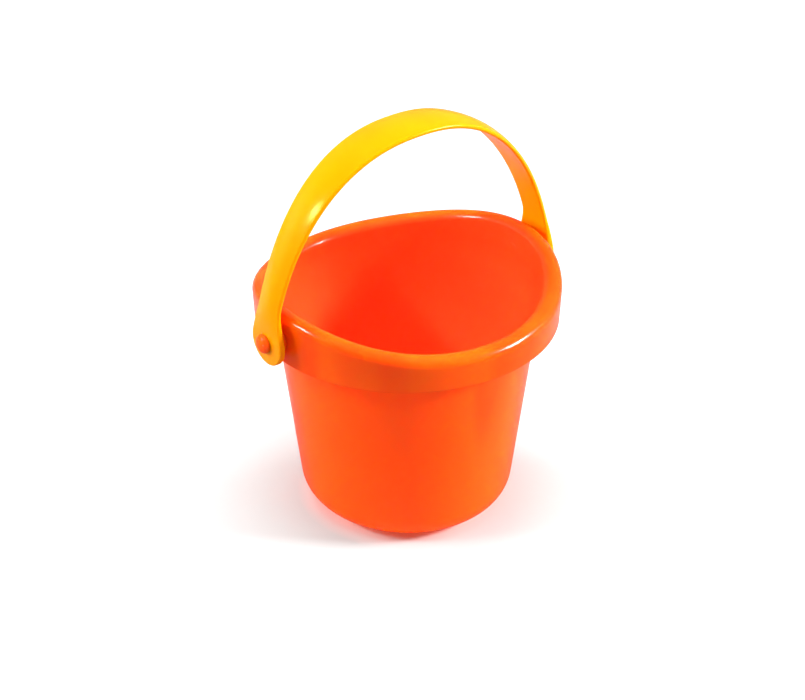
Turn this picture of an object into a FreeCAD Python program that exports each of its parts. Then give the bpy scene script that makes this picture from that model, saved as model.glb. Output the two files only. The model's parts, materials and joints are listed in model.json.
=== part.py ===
"""Toy sand bucket with a strap handle that swings on two pegs.

Frame: origin at the centre of the base on the ground, +Z up, and the hinge line of the handle
parallel to X. All lengths are in millimetres and all angles in radians.
"""
import FreeCAD
import Part
import math
import os
from FreeCAD import Vector

# Tub wall
WALL = 1.6                # thickness of the wall, the lip and the skirt
BASE_RADIUS = 51.1        # outside of the wall, carried down to the ground
WALL_TAPER = 0.12         # growth of radius per unit of height
BASE_ROUND = 19.0         # outside rounding between the wall and the base
FLOOR = 2.4               # thickness of the floor at its outer ring
RECESS_RADIUS = 27.0      # shallow recess under the base, inside the foot ring
RECESS_DEPTH = 0.9
GATE_RADIUS = 3.0         # small moulding nub in the middle of the recess
GATE_HEIGHT = 0.5

# Lip and skirt
LIP_INSIDE = 65.7         # inner surface at the mean height of the lip
LIP_OUTSIDE = 75.0        # outer surface of the skirt at the same height
LIP_HEIGHT = 124.3        # centre of the lip's rounding, averaged round the rim
WAVE = 6.05               # rise of the lip at the pegs and fall between them
WAVE_SHARPNESS = 0.8      # fourth harmonic, which flattens the low stretches
SKIRT_BOTTOM = 108.0
SKIRT_BOTTOM_RADIUS = 74.2
COLLAR_START = 100.0      # above this height the wall flares a little to meet the lip

# Pivot
PIVOT_HEIGHT = 120.3
PAD_RADIUS = 7.0          # round boss with a flat face that the eye turns against
SOCKET_WALL_RADIUS = 5.4  # round post that joins the skirt to the wall
SOCKET_FLOOR = 68.6       # blind end of the socket
SPIGOT_RADIUS = 2.6
RIB_RADIUS = 2.85         # snap rib on the spigot and its groove in the socket
RIB_START = 70.6
RIB_LENGTH = 1.0
JOURNAL_RADIUS = 3.4
EYE_CLEARANCE = 0.08      # between the journal and the eye, on the radius
END_PLAY = 0.15           # between the eye and the pad, and between the eye and the peg head
HEAD_RADIUS = 5.0
HEAD_RISE = 3.6
HEAD_EDGE = 0.5           # straight edge of the head below its dome

# Handle
EAR_OUTSIDE = 82.7        # outer face of the ear, measured from the centre of the tub
EAR_THICKNESS = 4.0
EAR_RADIUS = 12.2
ARCH_HALF_SPAN = 88.3     # superellipse that the outside of the arch follows
ARCH_RISE = 136.5
ARCH_DROP = 40.7          # centre of the superellipse below the pivot
ARCH_POWER = 2.25
BEND = 1.6                # softness of the bend between the ear and the arch
TOP_WIDTH = 25.4
NECK_WIDTH = 16.2
NECK_HEIGHT = 20.0        # above the pivot, where the ear has narrowed to the strap
NECK_SOFTNESS = 1.2       # rounding of the corner between the ear's flank and the strap
STRAP_THICKNESS = 3.8
STRAP_CROWN = 1.4         # rise of the strap's outer face over its width
EAR_CROWN = 0.6
EDGE_BULGE = 0.7          # rounding of the strap's long edges
ARCH_SECTIONS = 65
RIM_SECTIONS = 36
SEAM = 0.005              # faces closer than this are joined

EAR_INSIDE = EAR_OUTSIDE - EAR_THICKNESS
PAD_FACE = EAR_INSIDE - END_PLAY
SKIRT_SLOPE = (LIP_OUTSIDE - SKIRT_BOTTOM_RADIUS) / (LIP_HEIGHT - SKIRT_BOTTOM)


def wall_radius(height):
    """Outside of the straight tub wall."""
    return BASE_RADIUS + WALL_TAPER * height


COLLAR_INSIDE = wall_radius(COLLAR_START) - WALL * math.hypot(1.0, WALL_TAPER)
COLLAR_SLOPE = (LIP_INSIDE - COLLAR_INSIDE) / (LIP_HEIGHT - COLLAR_START)


def collar_inside(height):
    """Inner surface of the flared collar above the straight wall."""
    return COLLAR_INSIDE + COLLAR_SLOPE * (height - COLLAR_START)


def skirt_outside(height):
    """Outer surface of the hanging skirt."""
    return SKIRT_BOTTOM_RADIUS + SKIRT_SLOPE * (height - SKIRT_BOTTOM)


def lip_height(azimuth):
    """Centre height of the lip's rounding: high at the pegs, low between them."""
    return LIP_HEIGHT + WAVE * math.cos(2 * azimuth) + WAVE_SHARPNESS * math.cos(4 * azimuth)


def lip_circle(height):
    """Centre radius and size of the circle that touches both the collar and the skirt."""
    inside = collar_inside(height)
    inner_stretch = math.hypot(1.0, COLLAR_SLOPE)
    outer_stretch = math.hypot(1.0, SKIRT_SLOPE)
    size = (skirt_outside(height) - inside) / (inner_stretch + outer_stretch)
    return inside + size * inner_stretch, size


def on_circle(centre, size, angle):
    """A point of the section plane (radius, height) on a circle."""
    return centre[0] + size * math.cos(angle), centre[1] + size * math.sin(angle)


def base_circle():
    """Centre of the rounding that touches the ground and the outside of the wall."""
    radius = wall_radius(BASE_ROUND) - BASE_ROUND * math.hypot(1.0, WALL_TAPER)
    return radius, BASE_ROUND


def floor_circle():
    """Centre and size of the rounding that touches the floor and the inside of the wall."""
    size = BASE_ROUND - WALL
    height = FLOOR + size
    radius = wall_radius(height) - (WALL + size) * math.hypot(1.0, WALL_TAPER)
    return (radius, height), size


def shell_section(azimuth):
    """Half section of the tub from the foot ring, up round the lip, to the floor."""
    height = lip_height(azimuth)
    lip_radius, lip_size = lip_circle(height)
    lip = (lip_radius, height)
    under = lip_size - WALL
    wall_tilt = math.atan(WALL_TAPER)
    collar_tilt = math.atan(COLLAR_SLOPE)
    skirt_tilt = math.atan(SKIRT_SLOPE)
    base = base_circle()
    floor, floor_size = floor_circle()
    collar_outside = COLLAR_INSIDE + WALL * math.hypot(1.0, WALL_TAPER)
    skirt_foot = (SKIRT_BOTTOM_RADIUS - WALL / 2, SKIRT_BOTTOM)
    quarter = math.pi / 2
    steps = [
        ("start", (base[0], 0.0)),
        ("arc", on_circle(base, BASE_ROUND, -quarter / 2 - wall_tilt / 2),
         on_circle(base, BASE_ROUND, -wall_tilt)),
        ("line", (collar_outside, COLLAR_START)),
        ("line", on_circle(lip, under, math.pi - collar_tilt)),
        ("arc", on_circle(lip, under, quarter),
         on_circle(lip, under, -skirt_tilt)),
        ("line", (SKIRT_BOTTOM_RADIUS - WALL, SKIRT_BOTTOM)),
        ("arc", on_circle(skirt_foot, WALL / 2, -quarter),
         (SKIRT_BOTTOM_RADIUS, SKIRT_BOTTOM)),
        ("line", on_circle(lip, lip_size, -skirt_tilt)),
        ("arc", on_circle(lip, lip_size, quarter),
         on_circle(lip, lip_size, math.pi - collar_tilt)),
        ("line", (COLLAR_INSIDE, COLLAR_START)),
        ("line", on_circle(floor, floor_size, -wall_tilt)),
        ("arc", on_circle(floor, floor_size, -quarter / 2 - wall_tilt / 2),
         (floor[0], FLOOR)),
    ]
    return section_wire(steps, azimuth)


def section_wire(steps, azimuth):
    """Turn a list of section moves into a wire in the half plane at an azimuth."""
    def place(point):
        return Vector(point[0] * math.cos(azimuth), point[0] * math.sin(azimuth), point[1])

    edges = []
    here = place(steps[0][1])
    for step in steps[1:]:
        there = place(step[-1])
        if step[0] == "arc":
            edges.append(Part.Arc(here, place(step[1]), there).toShape())
        else:
            edges.append(Part.LineSegment(here, there).toShape())
        here = there
    return Part.Wire(edges)


def disc_at(height, edges):
    """Flat face inside the smallest closed edge that lies at a height."""
    rings = [edge for edge in edges if edge.isClosed() and abs(edge.BoundBox.ZMax - height) < 0.01]
    return Part.Face(Part.Wire(min(rings, key=lambda edge: edge.BoundBox.XMax)))


def tub():
    """Wall, floor, lip and skirt as one closed moulding, without the sockets."""
    sections = [shell_section(2 * math.pi * index / RIM_SECTIONS) for index in range(RIM_SECTIONS)]
    skin = Part.makeLoft(sections, False, False, True)
    shell = Part.makeShell(skin.Faces + [disc_at(0.0, skin.Edges), disc_at(FLOOR, skin.Edges)])
    shell.sewShape()
    return outward(Part.makeSolid(shell)).cut(recess())


def recess():
    """Shallow hollow under the base that leaves a flat foot ring."""
    return Part.makeCone(RECESS_RADIUS + RECESS_DEPTH, RECESS_RADIUS, RECESS_DEPTH)


def outward(solid):
    """The same solid with its faces turned outwards."""
    if solid.Volume < 0:
        solid.reverse()
    return solid


def turned(profile, side):
    """Solid turned about the hinge line from (distance from centre, radius) corners."""
    corners = [Vector(x, 0, radius) for x, radius in profile]
    solid = Part.Face(Part.makePolygon(corners + corners[:1])).revolve(Vector(), Vector(1, 0, 0), 360)
    if side < 0:
        solid = solid.mirror(Vector(), Vector(1, 0, 0))
    return outward(solid.translated(Vector(0, 0, PIVOT_HEIGHT)))


def socket_post(side):
    """Round post and flat pad that carry one peg."""
    root = collar_inside(PIVOT_HEIGHT) + WALL / 2
    return turned([
        (root, 0.0),
        (root, SOCKET_WALL_RADIUS),
        (LIP_OUTSIDE - WALL, SOCKET_WALL_RADIUS),
        (LIP_OUTSIDE - WALL, PAD_RADIUS),
        (PAD_FACE, PAD_RADIUS),
        (PAD_FACE, 0.0),
    ], side)


def socket_bore(side):
    """Blind bore with a snap groove, open at the pad."""
    return turned([
        (SOCKET_FLOOR, 0.0),
        (SOCKET_FLOOR, SPIGOT_RADIUS),
        (RIB_START, SPIGOT_RADIUS),
        (RIB_START + RIB_LENGTH / 2, RIB_RADIUS),
        (RIB_START + RIB_LENGTH, SPIGOT_RADIUS),
        (PAD_FACE + WALL, SPIGOT_RADIUS),
        (PAD_FACE + WALL, 0.0),
    ], side)


def bucket_shell():
    """The tub with a peg socket on each side."""
    solid = tub()
    for side in (-1, 1):
        solid = solid.fuse(socket_post(side))
    for side in (-1, 1):
        solid = solid.cut(socket_bore(side))
    gate = Part.makeCylinder(GATE_RADIUS, GATE_HEIGHT, Vector(0, 0, RECESS_DEPTH - GATE_HEIGHT))
    return solid.fuse(gate).removeSplitter()


def pivot_peg(side):
    """Peg with a domed head, a journal for the eye and a ribbed spigot."""
    head_face = EAR_OUTSIDE + END_PLAY
    tip = SOCKET_FLOOR + 0.4
    shank = turned([
        (tip, 0.0),
        (tip, SPIGOT_RADIUS - 0.5),
        (tip + 0.5, SPIGOT_RADIUS),
        (RIB_START, SPIGOT_RADIUS),
        (RIB_START + RIB_LENGTH / 2, RIB_RADIUS),
        (RIB_START + RIB_LENGTH, SPIGOT_RADIUS),
        (PAD_FACE, SPIGOT_RADIUS),
        (PAD_FACE, JOURNAL_RADIUS),
        (head_face, JOURNAL_RADIUS),
        (head_face, HEAD_RADIUS),
        (head_face + HEAD_EDGE, HEAD_RADIUS),
        (head_face + HEAD_EDGE, 0.0),
    ], side)
    return outward(shank.fuse(peg_dome(head_face + HEAD_EDGE, side)).removeSplitter())


def peg_dome(start, side):
    """Rounded cap of the peg head."""
    rise = HEAD_RISE - HEAD_EDGE
    crown = Part.Arc(
        Vector(start, 0, HEAD_RADIUS),
        Vector(start + 0.72 * rise, 0, 0.6 * HEAD_RADIUS),
        Vector(start + rise, 0, 0),
    ).toShape()
    base = Part.LineSegment(Vector(start + rise, 0, 0), Vector(start, 0, 0)).toShape()
    edge = Part.LineSegment(Vector(start, 0, 0), Vector(start, 0, HEAD_RADIUS)).toShape()
    dome = Part.Face(Part.Wire([crown, base, edge])).revolve(Vector(), Vector(1, 0, 0), 360)
    if side < 0:
        dome = dome.mirror(Vector(), Vector(1, 0, 0))
    return outward(dome.translated(Vector(0, 0, PIVOT_HEIGHT)))


def smooth_min(first, second, softness):
    """The smaller of two values, with the corner between them rounded."""
    overlap = max(softness - abs(first - second), 0.0) / softness
    return min(first, second) - overlap * overlap * softness / 4


def smooth_step(ratio):
    """Ease from 0 to 1."""
    ratio = min(max(ratio, 0.0), 1.0)
    return ratio * ratio * (3 - 2 * ratio)


def arch_point(angle):
    """Outside of the arch over the pivot, as (distance from centre, height above the pivot)."""
    flat = 2 / ARCH_POWER
    across = ARCH_HALF_SPAN * math.copysign(abs(math.cos(angle)) ** flat, math.cos(angle))
    height = ARCH_RISE * math.sin(angle) ** flat - ARCH_DROP
    across = math.copysign(smooth_min(abs(across), EAR_OUTSIDE, BEND), across)
    return across, height


def half_width(height):
    """Half the width of the handle at a height above the pivot.

    The ear is round below, its flanks leave the circle in straight lines, and they meet the
    strap in a soft corner.
    """
    neck = NECK_WIDTH / 2
    swing = math.atan2(NECK_HEIGHT, neck) - math.acos(EAR_RADIUS / math.hypot(neck, NECK_HEIGHT))
    touch = EAR_RADIUS * math.sin(swing)
    if height < touch:
        return math.sqrt(EAR_RADIUS ** 2 - height ** 2)
    start = EAR_RADIUS * math.cos(swing)
    flank = start + (neck - start) * (height - touch) / (NECK_HEIGHT - touch)
    rise = ARCH_RISE - ARCH_DROP
    strap = neck + (TOP_WIDTH / 2 - neck) * (height / rise) ** 2
    return -smooth_min(-flank, -strap, NECK_SOFTNESS)


def strap_section(angle):
    """Closed section of the handle: crowned outside, rounded edges, flat inside."""
    across, height = arch_point(angle)
    step = 0.002
    before = arch_point(angle - step)
    after = arch_point(angle + step)
    along = Vector(after[0] - before[0], 0, after[1] - before[1])
    along.normalize()
    out = Vector(along.z, 0, -along.x)
    side = Vector(0, 1, 0)
    middle = Vector(across, 0, height + PIVOT_HEIGHT)
    eased = smooth_step(height / NECK_HEIGHT)
    half = half_width(height) - EDGE_BULGE
    thick = EAR_THICKNESS + (STRAP_THICKNESS - EAR_THICKNESS) * eased
    crown = EAR_CROWN + (STRAP_CROWN - EAR_CROWN) * eased

    def place(offset, depth):
        return middle + side * offset - out * depth

    mid_depth = (crown + thick) / 2
    edges = [
        Part.Arc(place(-half, crown), place(0, 0), place(half, crown)),
        Part.Arc(place(half, crown), place(half + EDGE_BULGE, mid_depth), place(half, thick)),
        Part.LineSegment(place(half, thick), place(-half, thick)),
        Part.Arc(place(-half, thick), place(-half - EDGE_BULGE, mid_depth), place(-half, crown)),
    ]
    return Part.Wire([edge.toShape() for edge in edges])


def ear_end(section):
    """Rounded lower half of one eye: half of the handle's end section, turned about the hinge."""
    reach = 4 * EAR_RADIUS
    keep = Part.makeBox(reach, reach, reach, Vector(-reach / 2, 0, -reach / 2))
    keep.translate(section.BoundBox.Center)
    half = Part.Face(section).common(keep).Faces[0]
    turn = -180 if section.BoundBox.Center.x > 0 else 180
    return outward(half.revolve(Vector(0, 0, PIVOT_HEIGHT), Vector(1, 0, 0), turn))


def handle():
    """Strap handle with a round eye at each end."""
    first = math.asin((ARCH_DROP / ARCH_RISE) ** (ARCH_POWER / 2))
    span = math.pi - 2 * first
    angles = [first + span * index / (ARCH_SECTIONS - 1) for index in range(ARCH_SECTIONS)]
    sections = [strap_section(angle) for angle in angles]
    solid = outward(Part.makeLoft(sections, True))
    solid = solid.fuse([ear_end(sections[0]), ear_end(sections[-1])], SEAM)
    eye = JOURNAL_RADIUS + EYE_CLEARANCE
    for side in (-1, 1):
        bore = Part.makeCylinder(
            eye,
            EAR_THICKNESS + 2 * WALL,
            Vector(side * (EAR_INSIDE - WALL), 0, PIVOT_HEIGHT),
            Vector(side, 0, 0),
        )
        solid = solid.cut(bore)
    return solid.removeSplitter()


def main():
    """Write one file per piece."""
    os.makedirs("parts", exist_ok=True)
    pieces = {
        "bucket_shell": bucket_shell(),
        "handle": handle(),
        "left_pivot_peg": pivot_peg(-1),
        "right_pivot_peg": pivot_peg(1),
    }
    for name, shape in pieces.items():
        shape.Solids[0].exportStep("parts/" + name + ".step")


main()
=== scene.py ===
import json
import math
from collections import namedtuple

import bmesh
import bpy
import numpy as np
from mathutils import Matrix, Vector


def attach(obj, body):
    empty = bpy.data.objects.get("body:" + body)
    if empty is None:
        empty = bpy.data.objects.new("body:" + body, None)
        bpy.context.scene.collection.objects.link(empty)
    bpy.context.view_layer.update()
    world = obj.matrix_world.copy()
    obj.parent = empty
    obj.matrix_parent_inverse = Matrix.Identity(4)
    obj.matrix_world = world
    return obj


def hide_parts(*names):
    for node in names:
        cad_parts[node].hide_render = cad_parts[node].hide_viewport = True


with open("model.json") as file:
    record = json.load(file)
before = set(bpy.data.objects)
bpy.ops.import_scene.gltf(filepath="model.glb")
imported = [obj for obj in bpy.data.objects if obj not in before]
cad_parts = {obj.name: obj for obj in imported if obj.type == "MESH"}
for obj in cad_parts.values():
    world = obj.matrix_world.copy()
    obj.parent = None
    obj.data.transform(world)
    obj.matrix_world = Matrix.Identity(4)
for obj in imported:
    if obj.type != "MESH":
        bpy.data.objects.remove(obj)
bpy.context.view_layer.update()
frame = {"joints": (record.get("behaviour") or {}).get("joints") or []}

MM = 0.001
QUARTER = math.pi / 2

# ---------------------------------------------------------------- sizes, in millimetres
hinge = [joint for joint in frame["joints"] if joint["name"] == "handle_swing"][0]
PIVOT_HEIGHT = hinge["pos_m"][2] / MM

# tub: wall, rounded base edge, and the recess and gate mark under it
WALL = 1.6
BASE_RADIUS = 51.1
WALL_TAPER = 0.12
BASE_ROUND = 19.0
FLOOR = 2.4
RECESS_RADIUS = 27.0
RECESS_DEPTH = 0.9
GATE_RADIUS = 3.0
GATE_HEIGHT = 0.5
UNDERSIDE_SOFT = 0.2

# lip, whose height waves twice round the rim, with the collar inside it and the skirt outside
LIP_INSIDE = 65.7
LIP_OUTSIDE = 75.0
LIP_HEIGHT = 124.3
WAVE = 6.05
WAVE_SHARPNESS = 0.8
SKIRT_BOTTOM = 108.0
SKIRT_BOTTOM_RADIUS = 74.2
COLLAR_START = 100.0

# sockets and pegs; lengths along the hinge line are distances from the middle of the bucket
PAD_RADIUS = 7.0
POST_RADIUS = 5.4
SOCKET_FLOOR = 68.6
SOCKET_SOFT = 0.25
SPIGOT_RADIUS = 2.6
SPIGOT_CHAMFER = 0.5
SPIGOT_END_GAP = 0.4
RIB_RADIUS = 2.85
RIB_START = 70.6
RIB_LENGTH = 1.0
JOURNAL_RADIUS = 3.4
EYE_CLEARANCE = 0.08
END_PLAY = 0.15
HEAD_RADIUS = 5.0
HEAD_RISE = 3.6
HEAD_SOFT = 0.35
DOME_START = 0.5
DOME_FULLNESS = 0.92
DOME_ROUNDNESS = 0.86

# handle: ears, arch and strap
EAR_OUTSIDE = 82.7
EAR_THICKNESS = 4.0
EAR_RADIUS = 12.2
EAR_REACH = 23.0
EYE_SOFT = 0.25
ARCH_HALF_SPAN = 88.3
ARCH_RISE = 136.5
ARCH_DROP = 40.7
ARCH_POWER = 2.25
BEND = 1.6
TOP_WIDTH = 25.4
NECK_WIDTH = 16.2
NECK_HEIGHT = 20.0
NECK_SOFTNESS = 1.2
STRAP_THICKNESS = 3.8
STRAP_CROWN = 1.4
EAR_CROWN = 0.5
STRAP_EDGE = 1.4
EAR_EDGE = 0.9
EDGE_INNER = 0.9

# worked out from the sizes above
PAD_FACE = EAR_OUTSIDE - EAR_THICKNESS - END_PLAY
SKIRT_SLOPE = (LIP_OUTSIDE - SKIRT_BOTTOM_RADIUS) / (LIP_HEIGHT - SKIRT_BOTTOM)
WALL_STRETCH = math.hypot(1, WALL_TAPER)
COLLAR_INSIDE = BASE_RADIUS + WALL_TAPER * COLLAR_START - WALL * WALL_STRETCH
COLLAR_OUTSIDE = COLLAR_INSIDE + WALL * WALL_STRETCH
COLLAR_SLOPE = (LIP_INSIDE - COLLAR_INSIDE) / (LIP_HEIGHT - COLLAR_START)
WALL_TILT = math.atan(WALL_TAPER)
COLLAR_TILT = math.atan(COLLAR_SLOPE)
SKIRT_TILT = math.atan(SKIRT_SLOPE)

# how finely the meshes are divided
TUB_AROUND = 288
TURNED_AROUND = 64
STRAP_ALONG = 170
STRAP_ACROSS = 18
EDGE_STEPS = 8
EAR_SIDE_STEPS = 24
EAR_TURN_STEPS = 56
EAR_RINGS = 14
DOME_STEPS = 19
ARCH_STEPS = 4000

# a turned shape starts this far from its axis, and a flat face closes it
AXIS_GAP = 0.05
WELD_DISTANCE = 2e-6


# ---------------------------------------------------------------- mesh helpers
def new_piece(name, vertices, faces, body, stands_for=()):
    """A smooth-shaded mesh from millimetre vertices that rides on a body of the frame."""
    mesh = bpy.data.meshes.new(name)
    mesh.from_pydata((np.asarray(vertices) * MM).tolist(), [], faces)
    mesh.validate()
    mesh.update()
    piece = bpy.data.objects.new(name, mesh)
    bpy.context.scene.collection.objects.link(piece)
    weld(piece)
    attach(piece, body)
    if stands_for:
        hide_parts(*stands_for)
    return piece


def weld(piece):
    """Join vertices that fall on each other and turn every face outwards."""
    work = bmesh.new()
    work.from_mesh(piece.data)
    bmesh.ops.remove_doubles(work, verts=work.verts, dist=WELD_DISTANCE)
    bmesh.ops.recalc_face_normals(work, faces=work.faces)
    for face in work.faces:
        face.smooth = True
    work.to_mesh(piece.data)
    work.free()


def grid_faces(rows, columns, first=0, wrap_rows=False, wrap_columns=False):
    """Quads of a grid of vertices stored row after row."""
    faces = []
    for row in range(rows if wrap_rows else rows - 1):
        for column in range(columns if wrap_columns else columns - 1):
            below = (row + 1) % rows
            beside = (column + 1) % columns
            faces.append((
                first + row * columns + column,
                first + row * columns + beside,
                first + below * columns + beside,
                first + below * columns + column,
            ))
    return faces


def turned_faces(around, columns):
    """Faces of a shape turned about an axis, with a flat face at each end of its section."""
    faces = grid_faces(around, columns, wrap_rows=True)
    faces.append(tuple(index * columns for index in range(around)))
    faces.append(tuple(index * columns + columns - 1 for index in range(around))[::-1])
    return faces


def on_circle(centre, size, angle):
    return centre[0] + size * math.cos(angle), centre[1] + size * math.sin(angle)


class Profile:
    """An open run of section points, in (radius, height)."""

    def __init__(self, start):
        self.points = [tuple(start)]

    def line(self, end, steps=1):
        start = self.points[-1]
        for step in range(1, steps + 1):
            share = step / steps
            self.points.append((
                start[0] + (end[0] - start[0]) * share,
                start[1] + (end[1] - start[1]) * share,
            ))

    def arc(self, centre, size, first, last, steps):
        for step in range(steps + 1):
            point = on_circle(centre, size, first + (last - first) * step / steps)
            if math.dist(point, self.points[-1]) > 1e-6:
                self.points.append(point)


# ---------------------------------------------------------------- tub
def wall_radius(height):
    return BASE_RADIUS + WALL_TAPER * height


def collar_inside(height):
    return COLLAR_INSIDE + COLLAR_SLOPE * (height - COLLAR_START)


def skirt_outside(height):
    return SKIRT_BOTTOM_RADIUS + SKIRT_SLOPE * (height - SKIRT_BOTTOM)


def lip_height(azimuth):
    return LIP_HEIGHT + WAVE * math.cos(2 * azimuth) + WAVE_SHARPNESS * math.cos(4 * azimuth)


def lip_circle(height):
    """Radius of the rim to the centre of the rolled lip, and the size of the roll."""
    inner_stretch = math.hypot(1, COLLAR_SLOPE)
    outer_stretch = math.hypot(1, SKIRT_SLOPE)
    size = (skirt_outside(height) - collar_inside(height)) / (inner_stretch + outer_stretch)
    return collar_inside(height) + size * inner_stretch, size


def add_underside(section):
    """Gate mark, shallow recess and the flat ring that the tub stands on."""
    gate = RECESS_DEPTH - GATE_HEIGHT
    soft = UNDERSIDE_SOFT
    section.line((GATE_RADIUS - soft, gate), steps=3)
    section.arc((GATE_RADIUS - soft, gate + soft), soft, -QUARTER, 0, steps=4)
    section.line((GATE_RADIUS, RECESS_DEPTH))
    section.line((RECESS_RADIUS - soft, RECESS_DEPTH), steps=12)
    section.line((RECESS_RADIUS + RECESS_DEPTH - soft, soft), steps=2)
    section.arc((RECESS_RADIUS + RECESS_DEPTH + 2 * soft, 2 * soft), 2 * soft,
                -QUARTER - math.pi / 4, -QUARTER, steps=4)


def add_wall_outside(section):
    """From the flat ring round the base edge and up to where the collar starts."""
    base = (wall_radius(BASE_ROUND) - BASE_ROUND * WALL_STRETCH, BASE_ROUND)
    section.line((base[0], 0), steps=4)
    section.arc(base, BASE_ROUND, -QUARTER, -WALL_TILT, steps=24)
    section.line((COLLAR_OUTSIDE, COLLAR_START), steps=26)


def add_lip(section, azimuth):
    """Up under the lip, down and round the skirt, up its outside and over the lip."""
    height = lip_height(azimuth)
    lip_radius, lip_size = lip_circle(height)
    lip = (lip_radius, height)
    under = lip_size - WALL
    inwards = math.pi - COLLAR_TILT
    skirt_foot = (SKIRT_BOTTOM_RADIUS - WALL / 2, SKIRT_BOTTOM)
    section.line(on_circle(lip, under, inwards), steps=8)
    section.arc(lip, under, inwards, -SKIRT_TILT, steps=16)
    section.line((SKIRT_BOTTOM_RADIUS - WALL, SKIRT_BOTTOM), steps=6)
    section.arc(skirt_foot, WALL / 2, math.pi, 2 * math.pi, steps=10)
    section.line(on_circle(lip, lip_size, -SKIRT_TILT), steps=10)
    section.arc(lip, lip_size, -SKIRT_TILT, inwards, steps=24)
    section.line((COLLAR_INSIDE, COLLAR_START), steps=8)


def add_wall_inside(section):
    """Down the inside of the wall and across the floor to the middle."""
    inner_round = BASE_ROUND - WALL
    height = FLOOR + inner_round
    centre = (wall_radius(height) - (WALL + inner_round) * WALL_STRETCH, height)
    section.line(on_circle(centre, inner_round, -WALL_TILT), steps=26)
    section.arc(centre, inner_round, -WALL_TILT, -QUARTER, steps=24)
    section.line((AXIS_GAP, FLOOR), steps=14)


def tub_section(azimuth):
    """Section of the tub from under its middle, up the outside, over the lip and down inside."""
    section = Profile((AXIS_GAP, RECESS_DEPTH - GATE_HEIGHT))
    add_underside(section)
    add_wall_outside(section)
    add_lip(section, azimuth)
    add_wall_inside(section)
    return section.points


def make_tub():
    vertices = []
    for index in range(TUB_AROUND):
        azimuth = 2 * math.pi * index / TUB_AROUND
        cosine, sine = math.cos(azimuth), math.sin(azimuth)
        section = tub_section(azimuth)
        vertices += [(radius * cosine, radius * sine, z) for radius, z in section]
    faces = turned_faces(TUB_AROUND, len(section))
    return new_piece("bucket_tub", vertices, faces, "bucket", ("bucket_shell",))


# ---------------------------------------------------------------- turned parts on the hinge line
def turned(name, profile, side, stands_for=()):
    """A closed shape turned about the hinge line from (distance from centre, radius) points."""
    vertices = []
    for index in range(TURNED_AROUND):
        angle = 2 * math.pi * index / TURNED_AROUND
        for distance, radius in profile:
            vertices.append((
                side * distance,
                radius * math.cos(angle),
                PIVOT_HEIGHT + radius * math.sin(angle),
            ))
    faces = turned_faces(TURNED_AROUND, len(profile))
    return new_piece(name, vertices, faces, "bucket", stands_for)


def socket_profile():
    """Round post between wall and skirt, with its pad, its bore and the snap groove."""
    soft = SOCKET_SOFT
    root = collar_inside(PIVOT_HEIGHT) + WALL / 2
    skirt_inside = LIP_OUTSIDE - WALL
    section = Profile((root, AXIS_GAP))
    section.line((root, POST_RADIUS), steps=2)
    section.line((skirt_inside, POST_RADIUS), steps=3)
    section.line((skirt_inside, PAD_RADIUS))
    section.line((PAD_FACE - soft, PAD_RADIUS), steps=2)
    section.arc((PAD_FACE - soft, PAD_RADIUS - soft), soft, QUARTER, 0, steps=4)
    section.line((PAD_FACE, SPIGOT_RADIUS + soft), steps=3)
    section.line((PAD_FACE - soft, SPIGOT_RADIUS))
    section.line((RIB_START + RIB_LENGTH, SPIGOT_RADIUS), steps=3)
    section.line((RIB_START + RIB_LENGTH / 2, RIB_RADIUS))
    section.line((RIB_START, SPIGOT_RADIUS))
    section.line((SOCKET_FLOOR, SPIGOT_RADIUS), steps=2)
    section.line((SOCKET_FLOOR, AXIS_GAP))
    return section.points


def peg_profile():
    """Ribbed spigot, journal and domed head."""
    soft = HEAD_SOFT
    tip = SOCKET_FLOOR + SPIGOT_END_GAP
    face = EAR_OUTSIDE + END_PLAY
    dome = face + DOME_START
    top = face + HEAD_RISE
    section = Profile((tip, AXIS_GAP))
    section.line((tip, SPIGOT_RADIUS - SPIGOT_CHAMFER))
    section.line((tip + SPIGOT_CHAMFER, SPIGOT_RADIUS))
    section.line((RIB_START, SPIGOT_RADIUS))
    section.line((RIB_START + RIB_LENGTH / 2, RIB_RADIUS))
    section.line((RIB_START + RIB_LENGTH, SPIGOT_RADIUS))
    section.line((PAD_FACE, SPIGOT_RADIUS), steps=2)
    section.line((PAD_FACE, JOURNAL_RADIUS))
    section.line((face, JOURNAL_RADIUS), steps=3)
    section.line((face, HEAD_RADIUS - soft))
    section.arc((face + soft, HEAD_RADIUS - soft), soft, math.pi, QUARTER, steps=5)
    section.line((dome, HEAD_RADIUS))
    for step in range(1, DOME_STEPS):
        angle = QUARTER * step / DOME_STEPS
        section.line((
            dome + (top - dome) * math.sin(angle) ** DOME_FULLNESS,
            HEAD_RADIUS * math.cos(angle) ** DOME_ROUNDNESS,
        ))
    section.line((top, AXIS_GAP))
    return section.points


# ---------------------------------------------------------------- handle
# The section of the strap at one place: half its width, its thickness, how far the crown of
# the outer face stands above its edges, and the radius of the outer edge.
StrapSection = namedtuple("StrapSection", "half thickness crown outer")


def smooth_min(first, second, softness):
    overlap = max(softness - abs(first - second), 0.0) / softness
    return min(first, second) - overlap * overlap * softness / 4


def smooth_step(ratio):
    ratio = min(max(ratio, 0.0), 1.0)
    return ratio * ratio * (3 - 2 * ratio)


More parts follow.
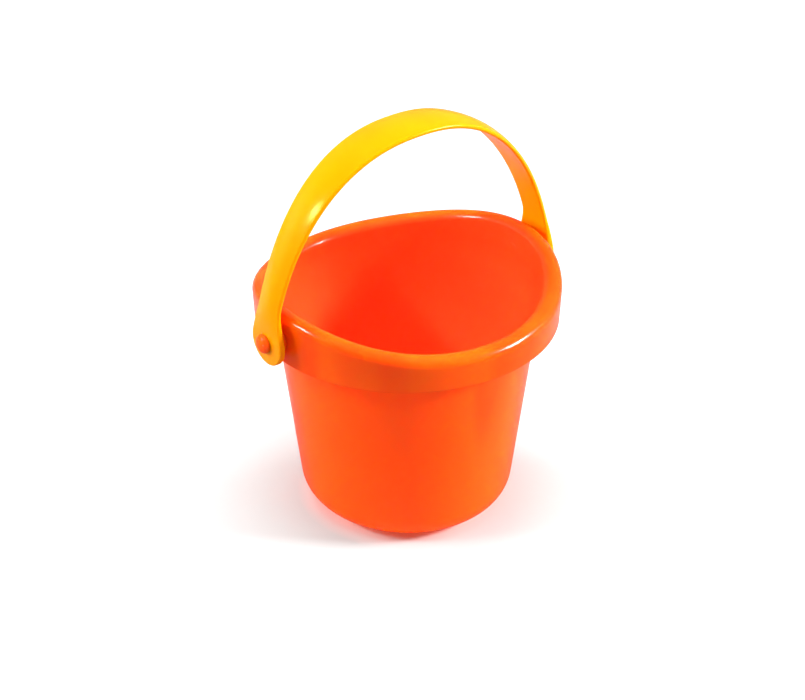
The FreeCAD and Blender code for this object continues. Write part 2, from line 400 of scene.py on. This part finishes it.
def arch_curve():
    """Points of the outside of the arch, as (across, height), and the length up to each."""
    first = math.asin((ARCH_DROP / ARCH_RISE) ** (ARCH_POWER / 2))
    flat = 2 / ARCH_POWER
    points = []
    for index in range(ARCH_STEPS + 1):
        angle = math.pi - first - (math.pi - 2 * first) * index / ARCH_STEPS
        cosine = math.cos(angle)
        across = ARCH_HALF_SPAN * math.copysign(abs(cosine) ** flat, cosine)
        across = math.copysign(smooth_min(abs(across), EAR_OUTSIDE, BEND), across)
        points.append((across, ARCH_RISE * math.sin(angle) ** flat - ARCH_DROP))
    points = np.array(points)
    steps = np.linalg.norm(np.diff(points, axis=0), axis=1)
    return points, np.concatenate([[0], np.cumsum(steps)])


ARCH_POINTS, ARCH_LENGTHS = arch_curve()
ARCH_TOTAL = ARCH_LENGTHS[-1]


def arch_place(length):
    """Place on the arch as (across, height above the pivot); past either end it goes straight down."""
    inside = min(max(length, 0.0), ARCH_TOTAL)
    across = np.interp(inside, ARCH_LENGTHS, ARCH_POINTS[:, 0])
    height = np.interp(inside, ARCH_LENGTHS, ARCH_POINTS[:, 1])
    return np.array([across, height - abs(length - inside)])


def arch_outward(length):
    """Direction square to the arch, away from the middle of the bucket."""
    reach = 0.6
    along = arch_place(length + reach) - arch_place(length - reach)
    along = along / np.linalg.norm(along)
    return np.array([-along[1], along[0]])


def strap_half_width(height):
    """Half width: round ear, then straight flanks that meet the strap in a soft corner."""
    neck = NECK_WIDTH / 2
    swing = math.atan2(NECK_HEIGHT, neck) - math.acos(EAR_RADIUS / math.hypot(neck, NECK_HEIGHT))
    touch = EAR_RADIUS * math.sin(swing)
    height = max(height, 0.0)
    if height < touch:
        return math.sqrt(EAR_RADIUS ** 2 - height ** 2)
    start = EAR_RADIUS * math.cos(swing)
    flank = start + (neck - start) * (height - touch) / (NECK_HEIGHT - touch)
    rise = ARCH_RISE - ARCH_DROP
    strap = neck + (TOP_WIDTH / 2 - neck) * (height / rise) ** 2
    return -smooth_min(-flank, -strap, NECK_SOFTNESS)


def handle_point(length, offset, depth, flip):
    """A point of the handle at a distance along it, across it and below its outer face."""
    x, z = arch_place(length) - arch_outward(length) * depth
    return (flip * x, offset, PIVOT_HEIGHT + z)


def section_at(length):
    height = arch_place(length)[1]
    eased = smooth_step(height / NECK_HEIGHT)
    return StrapSection(
        strap_half_width(height),
        EAR_THICKNESS + (STRAP_THICKNESS - EAR_THICKNESS) * eased,
        EAR_CROWN + (STRAP_CROWN - EAR_CROWN) * eased,
        EAR_EDGE + (STRAP_EDGE - EAR_EDGE) * eased,
    )


def edge_profile(section):
    """Rounded long edge from the outer face to the inner face, as (inset, depth)."""
    points = []
    for step in range(EDGE_STEPS + 1):
        angle = QUARTER * step / EDGE_STEPS
        points.append((
            section.outer * (1 - math.sin(angle)),
            section.crown + section.outer * (1 - math.cos(angle)),
        ))
    for step in range(1, EDGE_STEPS + 1):
        angle = QUARTER * step / EDGE_STEPS
        points.append((
            EDGE_INNER * (1 - math.cos(angle)),
            section.thickness - EDGE_INNER + EDGE_INNER * math.sin(angle),
        ))
    return points


def strap_ring(length):
    """Closed ring of the strap: outer face, one edge, inner face, other edge."""
    section = section_at(length)
    outer_face = section.half - section.outer
    inner_face = section.half - EDGE_INNER
    points = []
    for step in range(STRAP_ACROSS + 1):
        share = -1 + 2 * step / STRAP_ACROSS
        points.append((outer_face * share, section.crown * share * share))
    edge = edge_profile(section)
    points += [(section.half - inset, depth) for inset, depth in edge[1:]]
    for step in range(1, STRAP_ACROSS + 1):
        points.append((inner_face * (1 - 2 * step / STRAP_ACROSS), section.thickness))
    points += [(inset - section.half, depth) for inset, depth in edge[-2:0:-1]]
    return points


def face_depth(length, offset, is_outer):
    """Depth of the crowned outer face or of the flat inner face."""
    section = section_at(max(length, 0.0))
    if not is_outer:
        return section.thickness
    if length < 0:
        share = math.hypot(length, offset) / (EAR_RADIUS - section.outer)
    else:
        share = abs(offset) / (section.half - section.outer)
    return section.crown * min(share, 1.0) ** 2


def ear_side_row(length, side):
    section = section_at(length)
    return [(length, side * (section.half - inset), depth) for inset, depth in edge_profile(section)]


def ear_turn_row(angle):
    row = []
    for inset, depth in edge_profile(section_at(0.0)):
        radius = EAR_RADIUS - inset
        row.append((radius * math.sin(angle), radius * math.cos(angle), depth))
    return row


def ear_edge_rows():
    """Rows across the rounded edge: down one side of the ear, round its end, up the other side."""
    rows = []
    for index in range(EAR_SIDE_STEPS):
        rows.append(ear_side_row(EAR_REACH * (1 - index / EAR_SIDE_STEPS), 1))
    for index in range(EAR_TURN_STEPS + 1):
        rows.append(ear_turn_row(-math.pi * index / EAR_TURN_STEPS))
    for index in range(1, EAR_SIDE_STEPS + 1):
        rows.append(ear_side_row(EAR_REACH * index / EAR_SIDE_STEPS, -1))
    return rows


def ear_border(edge_rows, is_outer):
    """Border of one face of the ear: along its edge, then back across the strap."""
    which = 0 if is_outer else -1
    border = [(row[which][0], row[which][1]) for row in edge_rows]
    section = section_at(EAR_REACH)
    face = section.half - (section.outer if is_outer else EDGE_INNER)
    for step in range(1, STRAP_ACROSS):
        border.append((EAR_REACH, face * (2 * step / STRAP_ACROSS - 1)))
    return border


def eye_place(length, offset, radius):
    """The point of a circle round the pivot in the direction of a place on the ear."""
    angle = math.atan2(length, offset)
    return radius * math.sin(angle), radius * math.cos(angle)


def add_ear_face(vertices, faces, border, is_outer, flip):
    """One face of the ear, in rings from its border to the rim of the eye."""
    rim = JOURNAL_RADIUS + EYE_CLEARANCE + EYE_SOFT
    start = len(vertices)
    for ring in range(EAR_RINGS + 1):
        share = ring / EAR_RINGS
        for length, offset in border:
            eye_length, eye_offset = eye_place(length, offset, rim)
            here_length = length + (eye_length - length) * share
            here_offset = offset + (eye_offset - offset) * share
            depth = face_depth(here_length, here_offset, is_outer)
            vertices.append(handle_point(here_length, here_offset, depth, flip))
    faces += grid_faces(EAR_RINGS + 1, len(border), first=start, wrap_columns=True)


def add_eye(vertices, faces, borders, flip):
    """The bore through the ear, with a small bevel at each end."""
    bore = JOURNAL_RADIUS + EYE_CLEARANCE
    count = len(borders[0])
    rows = [
        (bore + EYE_SOFT, 0.0, True),
        (bore, EYE_SOFT, True),
        (bore, -EYE_SOFT, False),
        (bore + EYE_SOFT, 0.0, False),
    ]
    start = len(vertices)
    for radius, inset, is_outer in rows:
        for border_length, border_offset in borders[0 if is_outer else 1]:
            length, offset = eye_place(border_length, border_offset, radius)
            depth = face_depth(length, offset, is_outer) + inset
            vertices.append(handle_point(length, offset, depth, flip))
    faces += grid_faces(len(rows), count, first=start, wrap_columns=True)


def add_ear(vertices, faces, flip):
    """One ear: its rounded edge, its two faces and the eye through it."""
    edge_rows = ear_edge_rows()
    start = len(vertices)
    for row in edge_rows:
        vertices += [handle_point(length, offset, depth, flip) for length, offset, depth in row]
    faces += grid_faces(len(edge_rows), len(edge_rows[0]), first=start)
    borders = [ear_border(edge_rows, is_outer) for is_outer in (True, False)]
    for is_outer, border in zip((True, False), borders):
        add_ear_face(vertices, faces, border, is_outer, flip)
    add_eye(vertices, faces, borders, flip)


def make_handle():
    """Strap and two ears as one mesh: quads along the strap, rings round each eye."""
    vertices = []
    faces = []
    for index in range(STRAP_ALONG + 1):
        length = EAR_REACH + (ARCH_TOTAL - 2 * EAR_REACH) * index / STRAP_ALONG
        ring = strap_ring(length)
        vertices += [handle_point(length, offset, depth, 1) for offset, depth in ring]
    faces += grid_faces(STRAP_ALONG + 1, len(ring), wrap_columns=True)
    for flip in (1, -1):
        add_ear(vertices, faces, flip)
    return new_piece("handle_strap", vertices, faces, "handle", ("handle",))


# ---------------------------------------------------------------- materials
WHITE = (1.0, 1.0, 1.0, 1.0)
SPECULAR = 0.25
INNER_SPECULAR = 0.03
IOR = 1.5
SUBSURFACE_SCALE = 0.008
BUMP_STRENGTH = 0.35
BUMP_DISTANCE = 0.0006


def linear(red, green, blue):
    """Linear colour from 0..255 display values."""
    values = []
    for value in (red, green, blue):
        value = value / 255
        values.append(value / 12.92 if value <= 0.04045 else ((value + 0.055) / 1.055) ** 2.4)
    return (*values, 1.0)


class Nodes:
    """Short-hand for building a node tree."""

    def __init__(self, tree, keep=False):
        self.tree = tree
        if not keep:
            tree.nodes.clear()

    def add(self, kind, **settings):
        node = self.tree.nodes.new(kind)
        for key, value in settings.items():
            setattr(node, key, value)
        return node

    def link(self, source, target):
        self.tree.links.new(source, target)

    def feed(self, source, target):
        """Give an input a fixed value or link another node's output to it."""
        if isinstance(source, (tuple, float, Vector)):
            target.default_value = source
        else:
            self.link(source, target)

    def noise(self, coordinates, scale, detail=3.0, roughness=0.55, distortion=0.0):
        node = self.add("ShaderNodeTexNoise")
        node.inputs["Scale"].default_value = scale
        node.inputs["Detail"].default_value = detail
        node.inputs["Roughness"].default_value = roughness
        node.inputs["Distortion"].default_value = distortion
        self.link(coordinates, node.inputs["Vector"])
        return node.outputs["Fac"]

    def spread(self, value, low, high, to_low, to_high):
        node = self.add("ShaderNodeMapRange", clamp=True)
        node.inputs["From Min"].default_value = low
        node.inputs["From Max"].default_value = high
        node.inputs["To Min"].default_value = to_low
        node.inputs["To Max"].default_value = to_high
        self.link(value, node.inputs["Value"])
        return node.outputs["Result"]

    def mix(self, share, first, second):
        node = self.add("ShaderNodeMix", data_type="RGBA")
        self.feed(share, node.inputs[0])
        self.feed(first, node.inputs[6])
        self.feed(second, node.inputs[7])
        return node.outputs[2]

    def math(self, operation, first, second):
        node = self.add("ShaderNodeMath", operation=operation)
        self.feed(first, node.inputs[0])
        self.feed(second, node.inputs[1])
        return node.outputs[0]

    def vector(self, operation, first, second=None):
        """A vector operation; the result is a number for a dot product or a length."""
        node = self.add("ShaderNodeVectorMath", operation=operation)
        self.link(first, node.inputs[0])
        if second is not None:
            self.feed(second, node.inputs[1])
        gives_number = operation in ("DOT_PRODUCT", "LENGTH")
        return node.outputs["Value" if gives_number else "Vector"]

    def stretched(self, coordinates, scale, turn):
        node = self.add("ShaderNodeMapping")
        node.inputs["Scale"].default_value = scale
        node.inputs["Rotation"].default_value = turn
        self.link(coordinates, node.inputs["Vector"])
        return node.outputs["Vector"]

    def sum_shaders(self, first, second):
        node = self.add("ShaderNodeAddShader")
        self.link(first, node.inputs[0])
        self.link(second, node.inputs[1])
        return node.outputs["Shader"]


def plastic_colour(nodes, spot, colour, deep):
    """Faint darker vertical streaks painted to stand in for dark reflections, a fine grain, and paler
    patches where edges are worn.
    """
    # painted reflection: darker vertical streaks in the deep colour stand in for dark reflections in
    # the glossy plastic
    painted_reflection_streaks = nodes.noise(nodes.stretched(spot, (1.0, 1.0, 0.14), (0, 0, 0)),
                       scale=26.0, detail=1.0, roughness=0.45, distortion=0.3)
    base = nodes.mix(nodes.spread(painted_reflection_streaks, 0.46, 0.58, 0.0, 1.0), colour, deep)
    grain = nodes.noise(spot, scale=900.0, detail=2.0)
    base = nodes.mix(nodes.spread(grain, 0.4, 0.7, 0.0, 0.05), base, deep)
    sharpness = nodes.add("ShaderNodeNewGeometry").outputs["Pointiness"]
    patches = nodes.noise(spot, scale=60.0, detail=4.0)
    worn = nodes.math("MULTIPLY",
                      nodes.spread(sharpness, 0.53, 0.60, 0.0, 1.0),
                      nodes.spread(patches, 0.45, 0.7, 0.0, 0.3))
    pale = tuple(min(1.0, 0.75 * value + 0.25) for value in colour[:3]) + (1.0,)
    return nodes.mix(worn, base, pale)


def plastic_scuffs(nodes, spot):
    """Fine straight scuffs in two directions, in the places that get rubbed."""
    turns = ((0.3, 0.2, 0.5), (0.9, 0.1, -0.7))
    stretches = ((90.0, 1400.0, 90.0), (1500.0, 80.0, 110.0))
    lines = []
    for turn, stretch in zip(turns, stretches):
        line = nodes.noise(nodes.stretched(spot, stretch, turn), scale=1.0, detail=1.0)
        lines.append(nodes.spread(line, 0.70, 0.76, 0.0, 1.0))
    rubbed = nodes.spread(nodes.noise(spot, scale=14.0), 0.45, 0.7, 0.0, 1.0)
    return nodes.math("MULTIPLY", nodes.math("MAXIMUM", *lines), rubbed)


def plastic_roughness(nodes, spot, gloss, scuffs):
    patches = nodes.noise(spot, scale=45.0, detail=4.0, roughness=0.6)
    rough = nodes.spread(patches, 0.3, 0.75, gloss * 0.85, gloss * 1.3)
    return nodes.math("ADD", rough, nodes.math("MULTIPLY", scuffs, 0.05))


def plastic_bump(nodes, spot, scuffs):
    """Soft orange peel over a slow ripple, with the scuffs cut in."""
    peel = nodes.math("MULTIPLY", nodes.noise(spot, scale=160.0, detail=2.0), 0.12)
    ripple = nodes.math("MULTIPLY", nodes.noise(spot, scale=28.0, detail=1.0), 0.5)
    height = nodes.math("ADD", peel, ripple)
    height = nodes.math("ADD", height, nodes.math("MULTIPLY", scuffs, -0.006))
    bump = nodes.add("ShaderNodeBump")
    bump.inputs["Strength"].default_value = BUMP_STRENGTH
    bump.inputs["Distance"].default_value = BUMP_DISTANCE
    nodes.link(height, bump.inputs["Height"])
    return bump.outputs["Normal"]


def plastic(name, colour, deep, gloss, glow, glow_radius, tint=WHITE):
    """Moulded glossy plastic that lets some light in."""
    material = bpy.data.materials.new(name)
    material.use_nodes = True
    nodes = Nodes(material.node_tree)
    spot = nodes.add("ShaderNodeTexCoord").outputs["Object"]
    shader = nodes.add("ShaderNodeBsdfPrincipled")
    output = nodes.add("ShaderNodeOutputMaterial")
    nodes.link(shader.outputs["BSDF"], output.inputs["Surface"])
    scuffs = plastic_scuffs(nodes, spot)
    nodes.link(plastic_colour(nodes, spot, colour, deep), shader.inputs["Base Color"])
    nodes.link(plastic_roughness(nodes, spot, gloss, scuffs), shader.inputs["Roughness"])
    nodes.link(plastic_bump(nodes, spot, scuffs), shader.inputs["Normal"])
    shader.inputs["Specular IOR Level"].default_value = SPECULAR
    shader.inputs["Specular Tint"].default_value = tint
    shader.inputs["IOR"].default_value = IOR
    shader.inputs["Subsurface Weight"].default_value = glow
    shader.inputs["Subsurface Radius"].default_value = glow_radius
    shader.inputs["Subsurface Scale"].default_value = SUBSURFACE_SCALE
    return material


def facing_middle(nodes):
    """One where the surface faces the axis of the bucket, nought elsewhere."""
    geometry = nodes.add("ShaderNodeNewGeometry")
    flat = nodes.vector("MULTIPLY", geometry.outputs["Position"], (1.0, 1.0, 0.0))
    facing = nodes.vector("DOT_PRODUCT", nodes.vector("NORMALIZE", flat), geometry.outputs["Normal"])
    return nodes.spread(facing, -0.95, -0.35, 1.0, 0.0)


def material_shader(nodes):
    return [node for node in nodes.tree.nodes if node.type == "BSDF_PRINCIPLED"][0]


def paint_light_inside(material, shallow, deep):
    """Painted light on the inside of the tub: its colour grows lighter towards the floor, standing in
    for light that comes through the thin wall there.
    """
    nodes = Nodes(material.node_tree, keep=True)
    colour_input = material_shader(nodes).inputs["Base Color"]
    base = colour_input.links[0].from_socket
    axes = nodes.add("ShaderNodeSeparateXYZ")
    nodes.link(nodes.add("ShaderNodeNewGeometry").outputs["Position"], axes.inputs["Vector"])
    # painted light: the inner walls are paler the nearer they are to the floor
    depth = nodes.spread(axes.outputs["Z"], 0.03, 0.12, 1.0, 0.0)
    inner = nodes.mix(depth, shallow, deep)
    nodes.link(nodes.mix(facing_middle(nodes), base, inner), colour_input)


def dull_inner_side(material):
    """Let the side of the strap that faces the middle reflect little of the floor."""
    nodes = Nodes(material.node_tree, keep=True)
    level = nodes.spread(facing_middle(nodes), 0.0, 1.0, SPECULAR, INNER_SPECULAR)
    nodes.link(level, material_shader(nodes).inputs["Specular IOR Level"])


def paint(piece, material):
    piece.data.materials.clear()
    piece.data.materials.append(material)


# ---------------------------------------------------------------- object
tub = make_tub()
sockets = [
    turned("left_socket", socket_profile(), -1),
    turned("right_socket", socket_profile(), 1),
]
pegs = [
    turned("left_peg", peg_profile(), -1, stands_for=("left_pivot_peg",)),
    turned("right_peg", peg_profile(), 1, stands_for=("right_pivot_peg",)),
]
handle = make_handle()

orange = plastic(
    "bucket_plastic",
    colour=linear(252, 83, 7),
    # deep: colour of the painted reflection streaks and of the grain
    deep=linear(250, 69, 6),
    gloss=0.17,
    glow=0.6,
    glow_radius=(1.0, 0.15, 0.03),
)
# painted light: the inside of the tub is given a colour that is paler towards the floor
paint_light_inside(orange, shallow=linear(250, 62, 20), deep=linear(250, 106, 50))
yellow = plastic(
    "handle_plastic",
    colour=linear(224, 134, 1),
    deep=linear(221, 130, 1),
    gloss=0.18,
    glow=0.4,
    glow_radius=(1.0, 0.6, 0.05),
    tint=(1.0, 0.9, 0.2, 1.0),
)
dull_inner_side(yellow)
peg_orange = plastic(
    "peg_plastic",
    colour=linear(250, 88, 10),
    deep=linear(246, 80, 8),
    gloss=0.2,
    glow=0.4,
    glow_radius=(1.0, 0.25, 0.05),
)
for piece in [tub] + sockets:
    paint(piece, orange)
for piece in pegs:
    paint(piece, peg_orange)
paint(handle, yellow)

# ---------------------------------------------------------------- camera
VIEW_AZIMUTH = math.radians(-36.13)
VIEW_ELEVATION = math.radians(31.81)
VIEW_DISTANCE = 1.2305
VIEW_LENS = 103.79
SENSOR_WIDTH = 36.0
VIEW_YAW = math.radians(-15.35)
VIEW_ROLL = math.radians(0.16)
AIM_HEIGHT = 0.08697
SIDE_SHIFT = 0.003
HOME_TOLERANCE = 0.001

RIGHT = Vector((math.cos(VIEW_AZIMUTH), math.sin(VIEW_AZIMUTH), 0))
AWAY = Vector((-math.sin(VIEW_AZIMUTH), math.cos(VIEW_AZIMUTH), 0))
UP = Vector((0, 0, 1))


def place(right, away, up):
    """A point given from the camera's side: metres to the right, away and up."""
    return RIGHT * right + AWAY * away + UP * up


def make_camera():
    """A camera set off to the side, with its lens shifted back so that the bucket is centred."""
    data = bpy.data.cameras.new("view")
    data.sensor_width = SENSOR_WIDTH
    data.lens = VIEW_LENS
    data.clip_start = 0.01
    data.clip_end = 50.0
    camera = bpy.data.objects.new("view", data)
    bpy.context.scene.collection.objects.link(camera)
    sine, cosine = math.sin(VIEW_ELEVATION), math.cos(VIEW_ELEVATION)
    ahead = AWAY * cosine - UP * sine
    above = AWAY * sine + UP * cosine
    side = RIGHT * math.cos(VIEW_YAW) - ahead * math.sin(VIEW_YAW)
    ahead = RIGHT * math.sin(VIEW_YAW) + ahead * math.cos(VIEW_YAW)
    rolled_side = side * math.cos(VIEW_ROLL) - above * math.sin(VIEW_ROLL)
    rolled_above = side * math.sin(VIEW_ROLL) + above * math.cos(VIEW_ROLL)
    home = place(0, -VIEW_DISTANCE * cosine, AIM_HEIGHT + VIEW_DISTANCE * sine)
    camera.matrix_world = Matrix((
        (rolled_side.x, rolled_above.x, -ahead.x, home.x),
        (rolled_side.y, rolled_above.y, -ahead.y, home.y),
        (rolled_side.z, rolled_above.z, -ahead.z, home.z),
        (0, 0, 0, 1),
    ))
    shift = -math.tan(VIEW_YAW) * VIEW_LENS / SENSOR_WIDTH - SIDE_SHIFT
    shift_only_at_home(camera, home, shift)
    bpy.context.scene.camera = camera


def shift_only_at_home(camera, home, shift):
    """Shift the lens while the camera is at home, but not when it looks from elsewhere."""
    driver = camera.data.driver_add("shift_x").driver
    driver.type = "SCRIPTED"
    distances = []
    for name, value in zip("xyz", home):
        variable = driver.variables.new()
        variable.name = name
        variable.type = "TRANSFORMS"
        variable.targets[0].id = camera
        variable.targets[0].transform_type = "LOC_" + name.upper()
        variable.targets[0].transform_space = "WORLD_SPACE"
        distances.append("abs({} - ({:.6f}))".format(name, value))
    driver.expression = "{:.6f} if {} < {} else 0.0".format(
        shift, " + ".join(distances), HOME_TOLERANCE)


make_camera()

# ---------------------------------------------------------------- stage
FLOOR_REACH = 6.0
LIT_POINT = Vector((0, 0, 0.08))
FLOOR_COLOUR = (0.43, 0.465, 0.465, 1.0)
SKY_LIGHT = (0.19, 0.19, 0.19, 1.0)
# painted light: colour and strength of the glow painted on the floor round the base
PAINTED_GLOW_COLOUR = linear(255, 92, 50)
PAINTED_GLOW_STRENGTH = 0.42


def make_floor():
    mesh = bpy.data.meshes.new("floor")
    corners = [(-1, -1), (1, -1), (1, 1), (-1, 1)]
    mesh.from_pydata([(x * FLOOR_REACH, y * FLOOR_REACH, 0) for x, y in corners], [], [(0, 1, 2, 3)])
    floor = bpy.data.objects.new("floor", mesh)
    bpy.context.scene.collection.objects.link(floor)
    paint(floor, floor_material())


def floor_material():
    """Pale floor, darker in reflections, with painted bounce light near the base, a painted warm glow
    round the base that stands in for light the bucket throws on it, and white far away.
    """
    material = bpy.data.materials.new("floor")
    material.use_nodes = True
    nodes = Nodes(material.node_tree)
    path = nodes.add("ShaderNodeLightPath")
    here = nodes.add("ShaderNodeNewGeometry").outputs["Position"]
    from_middle = nodes.vector("LENGTH", here)

    mirrored = nodes.spread(nodes.vector("DOT_PRODUCT", here, AWAY), -0.10, 0.12, 0.06, 0.19)
    # painted bounce light: in bounce rays the floor is brighter near the base, to light the underside
    # of the bucket
    bounced = nodes.spread(from_middle, 0.045, 0.085, 0.95, 0.28)
    colour = nodes.mix(path.outputs["Is Glossy Ray"], bounced, mirrored)
    colour = nodes.mix(path.outputs["Is Camera Ray"], colour, FLOOR_COLOUR)
    plain = nodes.add("ShaderNodeBsdfDiffuse")
    nodes.link(colour, plain.inputs["Color"])

    # painted light: an orange glow on the floor round the base, standing in for light the bucket
    # throws on it
    glow = nodes.add("ShaderNodeEmission")
    glow.inputs["Color"].default_value = PAINTED_GLOW_COLOUR
    nodes.link(nodes.spread(from_middle, 0.038, 0.056, PAINTED_GLOW_STRENGTH, 0.0), glow.inputs["Strength"])

    far = nodes.add("ShaderNodeEmission")
    fade = nodes.spread(from_middle, 0.4, 1.0, 0.0, 1.0)
    nodes.link(nodes.math("MULTIPLY", fade, path.outputs["Is Camera Ray"]), far.inputs["Strength"])

    total = nodes.sum_shaders(plain.outputs["BSDF"], glow.outputs["Emission"])
    total = nodes.sum_shaders(total, far.outputs["Emission"])
    nodes.link(total, nodes.add("ShaderNodeOutputMaterial").inputs["Surface"])
    return material


def make_sky():
    """White for the camera, dim for lighting, and dimmer still in reflections of the camera's side."""
    world = bpy.data.worlds.new("studio")
    world.use_nodes = True
    nodes = Nodes(world.node_tree)
    path = nodes.add("ShaderNodeLightPath")
    direction = nodes.add("ShaderNodeTexCoord").outputs["Generated"]
    mirrored = nodes.spread(nodes.vector("DOT_PRODUCT", direction, AWAY), -0.9, -0.3, 0.05, 0.24)
    colour = nodes.mix(path.outputs["Is Glossy Ray"], SKY_LIGHT, mirrored)
    colour = nodes.mix(path.outputs["Is Camera Ray"], colour, WHITE)
    sky = nodes.add("ShaderNodeBackground")
    nodes.link(colour, sky.inputs["Color"])
    nodes.link(sky.outputs["Background"], nodes.add("ShaderNodeOutputWorld").inputs["Surface"])
    bpy.context.scene.world = world


def softbox(name, where, width, height, watts, in_reflections=True):
    """A rectangular light aimed at the middle of the bucket."""
    light = bpy.data.lights.new(name, "AREA")
    light.shape = "RECTANGLE"
    light.size = width
    light.size_y = height
    light.energy = watts
    box = bpy.data.objects.new(name, light)
    bpy.context.scene.collection.objects.link(box)
    box.location = where
    box.rotation_mode = "QUATERNION"
    box.rotation_quaternion = (LIT_POINT - where).to_track_quat("-Z", "Y")
    box.visible_glossy = in_reflections


make_floor()
make_sky()
softbox("overhead", place(-0.1, 0.0, 1.5), 1.3, 1.0, 36.0, in_reflections=False)
softbox("right_box", place(1.10, -0.10, 0.67), 0.32, 0.22, 28.0)
softbox("right_fill", place(1.22, 0.47, 0.38), 0.80, 0.50, 21.0, in_reflections=False)
softbox("left_box", place(-0.91, -0.30, 0.80), 0.28, 0.13, 9.0)
softbox("left_fill", place(-1.25, 0.33, 0.42), 0.80, 0.60, 21.0, in_reflections=False)
softbox("front_fill", place(0.1, -1.3, 0.14), 1.6, 0.25, 2.1, in_reflections=False)
bpy.context.scene.view_settings.view_transform = "Standard"
